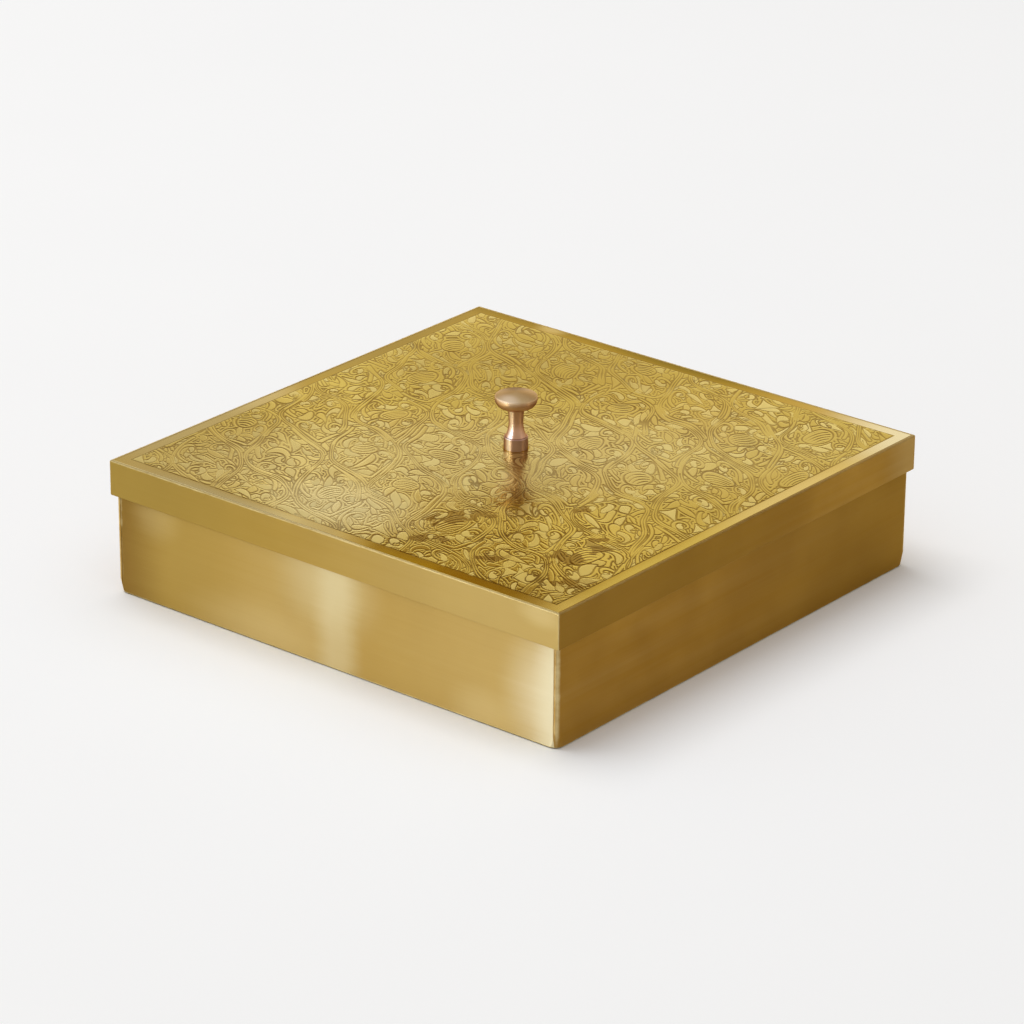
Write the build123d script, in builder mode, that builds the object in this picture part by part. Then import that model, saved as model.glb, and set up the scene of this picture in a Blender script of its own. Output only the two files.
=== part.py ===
from build123d import *

# Square sheet-brass sweet box with a lift-off lid and a turned copper knob.
#
# All sizes are in millimetres. The origin is on the ground under the middle of the box, +Z is up,
# the front wall faces -Y and the right wall faces +X.
#
# The base is a floor and four walls, brazed together at butt joints. The lid is an etched panel let
# into four mitred skirt strips, and it rests on the rims of the walls. A screw from inside the lid
# holds the collar and the knob.

import os

# The box as a whole
lid_width = 190.5  # across the outside of the skirt, both ways
closed_height = 47.3  # from the ground to the lid's top face, without the knob
lid_clearance = 0.5  # between the skirt and the base's walls, on each side

# Base
base_sheet = 1.5  # thickness of the floor and the walls
base_corner_radius = 1.3  # of the upright corners
base_dubbed_radius = 3.6  # of the same corners at the ground, where they are filed rounder
base_dubbed_height = 5.0  # over which the corners ease from one radius to the other
base_foot_radius = 0.8  # where the walls turn under
base_rim_radius = 0.3  # on the outside of the walls' rims
base_bead_leg = 1.2  # of the brazing fillet inside
base_bead_stop = 4.0  # from the walls' rims down to where the fillet ends
base_seam_bevel = 0.25  # of the front and back walls' ends, which shows as a fine groove

# Lid
lid_sheet = 1.0  # thickness of the panel and the skirt
skirt_height = 12.3  # from the lid's top face to the skirt's lip
lid_corner_radius = 0.6  # of the upright corners
lid_edge_radius = 0.5  # of the top edges
skirt_lip_radius = 0.25  # of the lower edges
lid_bead_leg = 0.35  # of the brazing fillet inside, less than the clearance
panel_seam_bevel = 0.2  # of the panel's edge, which shows as a fine groove inside the skirt
plain_border = 5.1  # from the lid's edge in to the etched field
etch_depth = 0.3  # of the ground of the etched field, below the lid's top face
seat_land = 0.3  # unetched ring that shows round the collar

# Collar at the knob's foot
collar_diameter = 8.2
collar_height = 4.3
collar_edge_radius = 0.4

# Knob, with its levels measured up from the collar's top
stem_foot_diameter = 7.0
neck_diameter = 4.9
neck_level = 5.0
stem_top_diameter = 5.8
head_level = 10.4  # where the head's underside leaves the stem
head_diameter = 14.3
head_rim_level = 13.3  # where the underside has grown to the head's full diameter
head_rim_height = 0.5  # of the upright part of the rim
head_edge_inset = 0.55  # of the rounded edge over the rim
head_edge_rise = 0.8
dome_rise = 1.2  # of the head's crown over its rounded edge

# Screw and washer inside the lid
screw_diameter = 3.0
thread_play = 0.05  # between the screw and its tapped hole, on the radius
passage_play = 0.15  # between the screw and the parts that it passes through, on the radius
screw_grip = 6.0  # length of the screw inside the stem
drill_run_out = 1.2  # of the tapped hole past the screw's end
drill_point_rise = 0.9  # of the tapped hole's cone
washer_diameter = 9.0
washer_thickness = 0.8
screw_head_diameter = 5.6
screw_head_height = 1.9
screw_head_radius = 0.7
screw_slot_width = 0.8
screw_slot_depth = 0.9

# Places that follow from the sizes above
base_width = lid_width - 2 * (lid_sheet + lid_clearance)
base_inner_width = base_width - 2 * base_sheet
panel_width = lid_width - 2 * lid_sheet
etched_width = lid_width - 2 * plain_border
panel_under = closed_height - lid_sheet  # also the level of the walls' rims
skirt_lip = closed_height - skirt_height
knob_foot = closed_height + collar_height
washer_under = panel_under - washer_thickness
screw_end = knob_foot + screw_grip
passage_radius = screw_diameter / 2 + passage_play
tapped_radius = screw_diameter / 2 + thread_play


def export(piece, name):
    """Label one finished piece and write its STEP file."""
    piece.label = name
    export_step(piece, f"parts/{name}.step")


def inside_bead(width, low, high, leg, closed_end):
    """Brazing fillet in the upright corners of a square hollow, and round its closed end.

    closed_end is 0 for a hollow that is closed below, and -1 for one that is closed above.
    """
    with BuildPart() as hollow:
        with BuildSketch(Plane.XY.offset(low)):
            Rectangle(width, width)
        extrude(amount=high - low)
        end_edges = hollow.faces().sort_by(Axis.Z)[closed_end].edges()
        chamfer(hollow.edges().filter_by(Axis.Z) + end_edges, leg)
    with BuildPart() as bead:
        with BuildSketch(Plane.XY.offset(low)):
            Rectangle(width, width)
        extrude(amount=high - low)
        add(hollow.part, mode=Mode.SUBTRACT)
    return bead.part


os.makedirs("parts", exist_ok=True)

# The outer form of the finished base, which each of its sheets is filed to
with BuildPart() as base_form:
    with BuildSketch(Plane.XY):
        RectangleRounded(base_width, base_width, base_dubbed_radius)
    with BuildSketch(Plane.XY.offset(base_dubbed_height)):
        RectangleRounded(base_width, base_width, base_corner_radius)
    loft()
    with BuildSketch(Plane.XY.offset(base_dubbed_height)):
        RectangleRounded(base_width, base_width, base_corner_radius)
    extrude(amount=panel_under - base_dubbed_height)
    fillet(base_form.faces().sort_by(Axis.Z)[0].edges(), base_foot_radius)
    fillet(base_form.faces().sort_by(Axis.Z)[-1].edges(), base_rim_radius)

with BuildPart() as base_floor:
    with BuildSketch(Plane.XY):
        Rectangle(base_inner_width, base_inner_width)
    extrude(amount=base_sheet)
    add(base_form.part, mode=Mode.INTERSECT)
export(base_floor.part, "base_floor")

# The left and right walls run from front to back, and close the ends of the other two
for name, side in (("left", -1), ("right", 1)):
    with BuildPart() as base_side_wall:
        with BuildSketch(Plane.XY):
            with Locations((side * (base_width - base_sheet) / 2, 0)):
                Rectangle(base_sheet, base_width)
        extrude(amount=panel_under)
        add(base_form.part, mode=Mode.INTERSECT)
    export(base_side_wall.part, f"base_wall_{name}")

for name, side in (("front", -1), ("back", 1)):
    with BuildPart() as base_end_wall:
        with BuildSketch(Plane.XY):
            with Locations((0, side * (base_width - base_sheet) / 2)):
                Rectangle(base_inner_width, base_sheet)
        extrude(amount=panel_under)
        outer_face = base_end_wall.faces().sort_by(Axis.Y)[0 if side < 0 else -1]
        chamfer(outer_face.edges().filter_by(Axis.Z), base_seam_bevel)
        add(base_form.part, mode=Mode.INTERSECT)
    export(base_end_wall.part, f"base_wall_{name}")

bead_top = panel_under - base_bead_stop
base_braze = inside_bead(base_inner_width, base_sheet, bead_top, base_bead_leg, 0)
export(base_braze, "base_braze")

# The outer form of the finished lid
with BuildPart() as lid_form:
    with BuildSketch(Plane.XY.offset(skirt_lip)):
        RectangleRounded(lid_width, lid_width, lid_corner_radius)
    extrude(amount=skirt_height)
    fillet(lid_form.faces().sort_by(Axis.Z)[0].edges(), skirt_lip_radius)
    fillet(lid_form.faces().sort_by(Axis.Z)[-1].edges(), lid_edge_radius)

with BuildPart() as lid_panel:
    with BuildSketch(Plane.XY.offset(panel_under)):
        Rectangle(panel_width, panel_width)
        Circle(passage_radius, mode=Mode.SUBTRACT)
    extrude(amount=lid_sheet)
    panel_rim = lid_panel.faces().sort_by(Axis.Z)[-1].outer_wire().edges()
    chamfer(panel_rim, panel_seam_bevel)
    with BuildSketch(Plane.XY.offset(closed_height)):
        Rectangle(etched_width, etched_width)
        Circle(collar_diameter / 2 + seat_land, mode=Mode.SUBTRACT)
    extrude(amount=-etch_depth, mode=Mode.SUBTRACT)
export(lid_panel.part, "lid_panel")

# The skirt strips are one mitred strip, turned to each side in its place
for quarter_turns, name in enumerate(("front", "right", "back", "left")):
    outer = lid_width / 2
    inner = panel_width / 2
    with BuildPart() as skirt_strip:
        with BuildSketch(Plane.XY.offset(skirt_lip)):
            strip_outline = Polygon(
                (-outer, -outer), (outer, -outer), (inner, -inner), (-inner, -inner),
                align=None, mode=Mode.PRIVATE,
            )
            add(strip_outline, rotation=90 * quarter_turns)
        extrude(amount=skirt_height)
        add(lid_form.part, mode=Mode.INTERSECT)
    export(skirt_strip.part, f"lid_skirt_{name}")

lid_braze = inside_bead(panel_width, skirt_lip + skirt_lip_radius, panel_under, lid_bead_leg, -1)
export(lid_braze, "lid_braze")

with BuildPart() as knob_collar:
    with BuildSketch(Plane.XY.offset(closed_height)):
        Circle(collar_diameter / 2)
        Circle(passage_radius, mode=Mode.SUBTRACT)
    extrude(amount=collar_height)
    collar_top_rim = knob_collar.faces().sort_by(Axis.Z)[-1].outer_wire().edges()
    fillet(collar_top_rim, collar_edge_radius)
export(knob_collar.part, "knob_collar")

# The knob is turned in one piece, and drilled and tapped from below
stem_foot = (stem_foot_diameter / 2, knob_foot)
neck = (neck_diameter / 2, knob_foot + neck_level)
stem_top = (stem_top_diameter / 2, knob_foot + head_level)
rim_low = (head_diameter / 2, knob_foot + head_rim_level)
rim_high = (head_diameter / 2, rim_low[1] + head_rim_height)
dome_edge = (head_diameter / 2 - head_edge_inset, rim_high[1] + head_edge_rise)
crown = (0, dome_edge[1] + dome_rise)
thread_end = screw_end + drill_run_out

with BuildPart() as knob:
    with BuildSketch(Plane.XZ):
        with BuildLine():
            Line((0, knob_foot), stem_foot)
            TangentArc(neck, stem_foot, tangent=(0, -1))
            TangentArc(neck, stem_top, tangent=(0, 1))
            TangentArc(rim_low, stem_top, tangent=(0, -1))
            Line(rim_low, rim_high)
            TangentArc(rim_high, dome_edge, tangent=(0, 1))
            TangentArc(crown, dome_edge, tangent=(1, 0))
            Line(crown, (0, knob_foot))
        make_face()
    revolve(axis=Axis.Z)
    with BuildSketch(Plane.XZ):
        Polygon(
            (0, knob_foot), (tapped_radius, knob_foot), (tapped_radius, thread_end),
            (0, thread_end + drill_point_rise),
            align=None,
        )
    revolve(axis=Axis.Z, mode=Mode.SUBTRACT)
export(knob.part, "knob")

with BuildPart() as knob_washer:
    with BuildSketch(Plane.XY.offset(washer_under)):
        Circle(washer_diameter / 2)
        Circle(passage_radius, mode=Mode.SUBTRACT)
    extrude(amount=washer_thickness)
export(knob_washer.part, "knob_washer")

with BuildPart() as knob_screw:
    with BuildSketch(Plane.XY.offset(washer_under)):
        Circle(screw_head_diameter / 2)
    extrude(amount=-screw_head_height)
    fillet(knob_screw.faces().sort_by(Axis.Z)[0].edges(), screw_head_radius)
    with BuildSketch(Plane.XY.offset(washer_under - screw_head_height)):
        Rectangle(screw_head_diameter, screw_slot_width)
    extrude(amount=screw_slot_depth, mode=Mode.SUBTRACT)
    with BuildSketch(Plane.XY.offset(washer_under)):
        Circle(screw_diameter / 2)
    extrude(amount=screw_end - washer_under)
export(knob_screw.part, "knob_screw")
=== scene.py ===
import math

import bpy
import numpy as np
from bpy.props import FloatProperty, FloatVectorProperty, IntProperty, PointerProperty
from mathutils import Matrix, Vector


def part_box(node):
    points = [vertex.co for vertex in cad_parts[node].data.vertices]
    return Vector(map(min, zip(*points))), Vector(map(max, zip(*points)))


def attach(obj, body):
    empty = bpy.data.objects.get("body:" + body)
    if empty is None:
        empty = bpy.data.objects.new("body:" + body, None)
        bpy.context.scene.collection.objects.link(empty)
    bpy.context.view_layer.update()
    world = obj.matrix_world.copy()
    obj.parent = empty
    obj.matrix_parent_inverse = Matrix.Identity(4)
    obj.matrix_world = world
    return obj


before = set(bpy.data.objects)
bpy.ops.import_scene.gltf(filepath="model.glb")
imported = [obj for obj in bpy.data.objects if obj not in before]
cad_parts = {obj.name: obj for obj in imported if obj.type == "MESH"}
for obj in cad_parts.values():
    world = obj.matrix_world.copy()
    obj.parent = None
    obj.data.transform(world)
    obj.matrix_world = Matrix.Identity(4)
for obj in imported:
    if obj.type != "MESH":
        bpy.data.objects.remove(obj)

bl_info = {
    "name": "Etched brass sweet box",
    "version": (1, 0, 0),
    "blender": (4, 5, 0),
    "location": "3D View > Sidebar > Sweet Box",
    "description": "Dresses a square brass sweet box with an etched lid and a turned copper knob",
    "category": "Object",
}

MM = 0.001  # in metres
FAR = 99.0  # farther than any motif, in millimetres
DULL = (0.86, 0.84, 0.80)  # multiplied into the colour of the back and left sheets and of the base's floor, a shade darker than the front

# The pale backdrop, and the distances in metres between which the floor passes into it
BACKDROP = (0.907, 0.907, 0.905)
FLOOR_NEAR, FLOOR_FAR = 0.7, 2.0

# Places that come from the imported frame, in metres
SKIRT_LOW, SKIRT_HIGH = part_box("lid_skirt_front")
WALL_LOW, WALL_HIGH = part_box("base_wall_right")
LID_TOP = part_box("lid_panel")[1].z
KNOB_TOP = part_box("knob")[1].z
COLLAR_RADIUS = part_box("knob_collar")[1].x
LID_HALF = -SKIRT_LOW.y
BASE_HALF = WALL_HIGH.x


# ---- Settings ----


def length_setting(name, description, default):
    """A length in metres."""
    return FloatProperty(name=name, description=description, default=default, unit="LENGTH")


def angle_setting(name, description, degrees):
    """An angle, with its default in degrees."""
    default = math.radians(degrees)
    return FloatProperty(name=name, description=description, default=default, subtype="ANGLE")


def count_setting(name, description, default, low, high):
    """A whole number between two others."""
    return IntProperty(name=name, description=description, default=default, min=low, max=high)


def colour_setting(name, description, default):
    """A colour."""
    return FloatVectorProperty(
        name=name, description=description, default=default, subtype="COLOR", size=3, min=0, max=1
    )


class EtchingSettings(bpy.types.PropertyGroup):
    """Sizes of the etched scrollwork."""

    border: length_setting("Plain border", "From the lid's edge in to the etched field", 5.1 * MM)
    depth: length_setting("Etched depth", "From the lid's top down to the etched ground", 0.03 * MM)
    pocket: length_setting(
        "Plate depth", "Thickness of the etched plates, down to the panel's pocket", 0.3 * MM
    )
    hatch: length_setting("Hatching pitch", "From one line of the hatching to the next", 1.05 * MM)
    sway: length_setting("Sway", "How far slow ripples push the motifs off their net", 1.3 * MM)
    groove: length_setting("Groove", "Width of the ground left between two motifs", 0.35 * MM)
    columns: count_setting(
        "Columns", "Medallions along the diagonal to the right corner", 10, 2, 16
    )
    rows: count_setting("Rows", "Medallions along the diagonal to the back corner", 4, 1, 8)
    stretch: FloatProperty(
        name="Stretch", description="Length of the motifs to the back corner, over their width",
        default=1.6, min=0.5, max=3.0,
    )
    cells: count_setting(
        "Grid cells", "Cells of the etched grid along the field's side", 900, 90, 900
    )
    plates: count_setting(
        "Plates", "Plates along the field's side, which keep each mesh small", 3, 1, 6
    )
    seed: IntProperty(name="Seed", description="Starts the random draws of the motifs", default=7)


class MetalSettings(bpy.types.PropertyGroup):
    """Colours of the metals."""

    brass: colour_setting(
        "Brushed brass", "Colour of the walls and the skirt", (0.505, 0.283, 0.043)
    )
    # also the colour of painted highlights and reflections on the walls, the skirt and their edges
    brass_pale: colour_setting(
        "Rubbed brass", "Colour of the brass where it is rubbed bright", (0.90, 0.76, 0.40)
    )
    field: colour_setting(
        "Polished field", "Colour of the lid's polished motifs and hatching", (0.64, 0.495, 0.105)
    )
    frosted: colour_setting(
        "Frosted motifs", "Colour of the lid's frosted motifs", (0.98, 0.85, 0.35)
    )
    ground: colour_setting(
        "Etched ground", "Colour of the ground between the motifs", (0.27, 0.155, 0.006)
    )
    copper: colour_setting("Copper", "Colour of the knob", (0.63, 0.37, 0.235))
    patina: colour_setting(
        "Patina", "Colour of the brown patina on the back of the knob's head", (0.17, 0.085, 0.02)
    )
    worn: colour_setting(
        "Worn plating", "Colour of the knob's top, where its copper is worn thin",
        (0.61, 0.445, 0.225),
    )
    collar: colour_setting("Collar", "Colour of the collar at the knob's foot", (0.49, 0.30, 0.235))


class StageSettings(bpy.types.PropertyGroup):
    """Floor, light and camera."""

    floor: colour_setting("Floor", "Colour of the floor", (0.962, 0.975, 0.992))
    lens: FloatProperty(name="Lens", description="Focal length of the camera", default=158.06)
    azimuth: angle_setting("Azimuth", "Turn of the camera from the front towards the right", 39.25)
    elevation: angle_setting("Elevation", "Rise of the camera over the horizon", 23.133)
    roll: angle_setting("Roll", "Tilt of the camera about its own axis", 0.399)
    distance: length_setting("Distance", "From the camera to its target", 1.50371)


# ---- The etched scrollwork: signed distances on a grid ----


def heading(angle):
    """The unit vector at an angle."""
    return np.array([math.cos(angle), math.sin(angle)])


def ripple(x, y, shortest, longest, draws, waves=12):
    """A smooth random field: sine waves of lengths between the two, added up."""
    total = np.zeros(x.shape)
    for _ in range(waves):
        length, turn = draws.uniform(shortest, longest), draws.uniform(0, 2 * np.pi)
        run = x * math.cos(turn) + y * math.sin(turn)
        total += np.sin(2 * np.pi * run / length + draws.uniform(0, 2 * np.pi))
    return total / math.sqrt(waves)


class Etching:
    """Signed distances over the etched field, in millimetres: below 0 on a motif, above 0 off it.

    The motifs are drawn in coordinates (p, q). p runs along the diagonal to the right corner, and q
    along the one to the back corner, where a millimetre is drawn out by stretch; ripples of sway
    millimetres bend both, so no motif comes out quite like its neighbours. Each new motif is
    clipped a groove's width away from those that are there already, so the first ones lie on top
    and every outline is a groove of the same width.
    """

    margin = 6.0  # past a motif's edge, over which its distances are worked out

    def __init__(self, width, cells, groove, stretch, sway, draws):
        self.half = width / 2
        self.groove = groove
        self.stretch = stretch
        self.line = np.linspace(-self.half, self.half, cells + 1)
        x, y = np.meshgrid(self.line, self.line)
        self.p = (x + y) / math.sqrt(2) + sway * ripple(x, y, 20.0, 60.0, draws)
        self.q = (y - x) / math.sqrt(2) / stretch + sway * ripple(x, y, 20.0, 60.0, draws)
        self.distance = np.full(x.shape, FAR)
        self.tone = np.zeros(x.shape)

    def near(self, places, reach):
        """The grid within reach of places in (p, q): its index slices, and its p and q."""
        places = np.atleast_2d(places)
        p_low, q_low = (places.min(0) - reach - self.margin) * (1, self.stretch)
        p_high, q_high = (places.max(0) + reach + self.margin) * (1, self.stretch)
        x = np.array((p_low - q_high, p_high - q_low)) / math.sqrt(2)
        y = np.array((p_low + q_low, p_high + q_high)) / math.sqrt(2)
        part = (slice(*np.searchsorted(self.line, y)), slice(*np.searchsorted(self.line, x)))
        return part, self.p[part], self.q[part]

    def turned(self, places, reach, angle):
        """The same, in coordinates (u, v) that stand at the first place and are turned by angle."""
        part, p, q = self.near(places, reach)
        first = np.atleast_2d(places)[0]
        dp, dq = p - first[0], q - first[1]
        c, s = math.cos(angle), math.sin(angle)
        return part, c * dp + s * dq, c * dq - s * dp

    def cut_in(self, part, shape, vein, tone):
        """Join a motif to the field. shape is its signed distance, and vein the distance to the
        lines engraved in it."""
        old = self.distance[part]
        new = np.maximum(np.maximum(shape, self.groove - old), 0.4 * self.groove - vein)
        self.tone[part] = np.where((shape < 0) & (old > 0), tone, self.tone[part])
        self.distance[part] = np.minimum(old, new)


def add_leaf(etching, place, angle, length, width, bend, lobes, tone):
    """One leaf from its foot at place.

    Its midrib is a parabola, v = bend * u^2 / (2 * length). Its half width grows and shrinks as
    sin(pi * u^0.8), scalloped by |sin(lobes * pi * u)|. A leaf of two lobes or more has an engraved
    midrib, and where it is wide, veins leave the midrib at each scallop.
    """
    tip = place + length * heading(angle)
    part, u, v = etching.turned((place, tip), width + abs(bend) * length / 2, angle)
    share = np.clip(u / length, 0, 1)
    across = np.abs(v - bend * u * share / 2)
    swell = np.sin(np.pi * share**0.8)
    half_width = width * swell * (0.78 + 0.22 * np.abs(np.sin(lobes * np.pi * share)))
    past = np.maximum(np.maximum(-u, u - length), 0)
    beside = (across - half_width) / np.hypot(1, bend * share)
    shape = np.where(past > 0, np.hypot(across, past), beside)
    vein = FAR
    if lobes > 1:
        vein = np.where((share > 0.02) & (share < 0.72), across, FAR)
    if lobes > 1 and width > 1.4:
        phase = lobes * (share - 1.1 * across / length)
        rib = np.abs(phase - np.round(phase)) * length / lobes * 0.8
        vein = np.minimum(vein, np.where((share > 0.12) & (share < 0.85), rib, FAR))
    etching.cut_in(part, shape, vein, tone)


def add_gusset(etching, place, radius, turn, tone):
    """A plain three-cornered leaf with hollow sides: what three circles leave between them.

    Each circle's radius is 7/3 of the leaf's, and its centre 8/3 of it away. A fourth circle, of
    0.8 of the leaf's radius, cuts off its tips.
    """
    part, u, v = etching.turned(place, radius, turn)
    shape = np.hypot(u, v) - 0.8 * radius
    for side in (1, 3, 5):
        x, y = heading(side * np.pi / 3) * radius * 8 / 3
        shape = np.maximum(shape, radius * 7 / 3 - np.hypot(u - x, v - y))
    etching.cut_in(part, shape, FAR, tone)


def add_shell(etching, place, angle, length, width, pitch, tone):
    """A hatched oval.

    length and width are its half axes. The hatching is lines v = n * pitch - 0.3 * u^2 / length,
    for each n halfway between two whole numbers, and stops short of the outline.
    """
    part, u, v = etching.turned(place, max(length, width), angle)
    shape = (np.hypot(u / length, v / width) - 1) * min(length, width)
    line = np.abs(np.mod(v + 0.3 * u**2 / length, pitch) - pitch / 2)
    etching.cut_in(part, shape, np.where(shape < -0.45, line, FAR), tone)


def add_hook(etching, place, angle, radius, sweep, width, tone):
    """A curled leaf: a crescent along an arc about place, which starts at angle and turns by sweep.

    Its half width is width * sin(pi * share^0.6) at each share of the arc.
    """
    part, u, v = etching.turned(place, radius + width, angle)
    v = v * math.copysign(1, sweep)
    sweep = abs(sweep)
    r, round_place = np.hypot(u, v), np.mod(np.arctan2(v, u), 2 * np.pi)
    share = np.clip(round_place / sweep, 0, 1)
    beside = np.abs(r - radius) - width * np.sin(np.pi * share**0.6)
    to_start = np.hypot(u - radius, v)
    to_end = np.hypot(u - radius * math.cos(sweep), v - radius * math.sin(sweep))
    shape = np.where(round_place < sweep, beside, np.minimum(to_start, to_end))
    etching.cut_in(part, shape, FAR, tone)


def polyline_distance(path, p, q):
    """Distance from each point to a polyline, and how many of its runs come before that place."""
    start, run = path[:-1], np.diff(path, axis=0)
    dp, dq = p[..., None] - start[:, 0], q[..., None] - start[:, 1]
    along = np.clip((dp * run[:, 0] + dq * run[:, 1]) / (run**2).sum(1), 0, 1)
    gap = np.hypot(dp - along * run[:, 0], dq - along * run[:, 1])
    nearest = gap.argmin(-1)[..., None]
    share = (np.take_along_axis(along, nearest, -1) + nearest)[..., 0]
    return np.take_along_axis(gap, nearest, -1)[..., 0], share


def add_stems(etching, stems, tone, line_from=0.55):
    """Stems as ribbons, with a line engraved along the middle where their half width is over
    line_from.

    Each stem is a path and its half width at each point. Its signed distance is the distance to
    the path, less the half width there.
    """
    shape = np.full_like(etching.distance, FAR)
    vein = np.full_like(etching.distance, FAR)
    points_a_run = 6
    for path, half_width in stems:
        for first in range(0, len(path) - 1, points_a_run):
            run = path[first : first + points_a_run + 1]
            half = half_width[first : first + points_a_run + 1]
            part, p, q = etching.near(run, half.max())
            gap, share = polyline_distance(run, p, q)
            half_here = np.interp(share, np.arange(len(run)), half)
            shape[part] = np.minimum(shape[part], gap - half_here)
            vein[part] = np.minimum(vein[part], np.where(half_here > line_from, gap, FAR))
    etching.cut_in((slice(None), slice(None)), shape, vein, tone)


def spiral(centre, radius, start, turns, way, lead):
    """A scroll: a lead-in curve from the point lead, then r = radius * 6^(-share) round centre.

    start is the angle at which the scroll proper begins, and way is +1 for anticlockwise.
    """
    share = np.linspace(0, 1, 37)
    angle = start + way * share * turns * 2 * np.pi
    r = radius * 6.0 ** (-share)
    scroll = np.array(centre) + r[:, None] * np.stack([np.cos(angle), np.sin(angle)], -1)
    outwards = scroll[0] - scroll[1]
    outwards /= np.hypot(*outwards)
    bend = scroll[0] + outwards * np.hypot(*(scroll[0] - lead)) * 0.55
    t = np.linspace(0, 1, 13)[:-1, None]
    lead_in = (1 - t) ** 2 * np.array(lead) + 2 * t * (1 - t) * bend + t**2 * scroll[0]
    return np.vstack([lead_in, scroll])


def tapered(path, foot, tip):
    """Half widths along a path, from foot to tip."""
    return foot + (tip - foot) * np.linspace(0, 1, len(path)) ** 1.3


def leaves_beside(etching, path, spacing, length, width, draws):
    """Leaves on both sides of a path, in turn, which lean out of it and ahead."""
    first, last, ahead = 1.5, 1.0, 0.5
    run = np.concatenate([[0], np.cumsum(np.hypot(*np.diff(path, axis=0).T))])
    for number, place in enumerate(np.arange(first, run[-1] - last, spacing)):
        at, next_place = (
            np.array([np.interp(there, run, axis) for axis in path.T])
            for there in (place, place + ahead)
        )
        way = next_place - at
        side = 1 if number % 2 else -1
        size = draws.uniform(0.8, 1.2)
        add_leaf(
            etching, at, math.atan2(way[1], way[0]) + side * draws.uniform(0.6, 0.95),
            length * size, width * size, -side * draws.uniform(0.5, 1.1), int(draws.integers(1, 4)),
            draws.uniform(-1, 1),
        )


def ogee(height, pitch_p, pitch_q):
    """Half width of a medallion at a height: a quarter pitch times (1 + 0.93 cos)."""
    return pitch_p / 4 * (1 + 0.93 * np.cos(2 * np.pi * height / pitch_q))


def medallion_scrolls(centre, size, draws):
    """The scrolls of one medallion, right and left: (centre, radius, start, turns, way, lead)."""
    for place, radius, start, turns, lead in (
        ((5.2, -5.2), 4.1, -1.35, 1.25, (0.5, -13.0)),
        ((4.4, 5.6), 3.5, 0.4, 1.15, (7.6, -0.5)),
    ):
        for side in (1, -1):
            vary = draws.uniform(0.9, 1.1)
            at = (centre[0] + side * place[0] * size * vary, centre[1] + place[1] * size * vary)
            foot = (centre[0] + side * lead[0] * size, centre[1] + lead[1] * size)
            angle = start if side == 1 else math.pi - start
            yield at, radius * size * vary, angle, turns, side, foot


def fill_gaps(etching, widest, draws):
    """Put a leaf, a curl or a gusset in the widest gap, until every gap is narrower than widest."""
    between = draws.uniform
    most_motifs, roomiest = 6000, 2.6
    for _ in range(most_motifs):
        row, column = divmod(int(etching.distance.argmax()), len(etching.line))
        room = etching.distance[row, column]
        if room < widest:
            return
        room = min(room, roomiest)
        place = np.array([etching.p[row, column], etching.q[row, column]])
        angle = between(0, 2 * np.pi)
        kind = draws.random()
        if kind < 0.1:
            add_gusset(etching, place, room * 1.5, angle, between(0.4, 1))
        elif kind < 0.6:
            radius = room * between(0.9, 1.6)
            centre = place - radius * heading(angle)
            sweep = between(1.6, 3.2) * draws.choice((-1, 1))
            tone = between(-0.2, 1)
            add_hook(etching, centre, angle - 0.4 * sweep, radius, sweep, room * 0.4, tone)
        else:
            length = room * between(2.0, 3.4)
            foot = place - 0.5 * length * heading(angle)
            bend, tone = between(-1.4, 1.4), between(-1, 1)
            add_leaf(etching, foot, angle, length, room * 0.5, bend, 1, tone)


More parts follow.
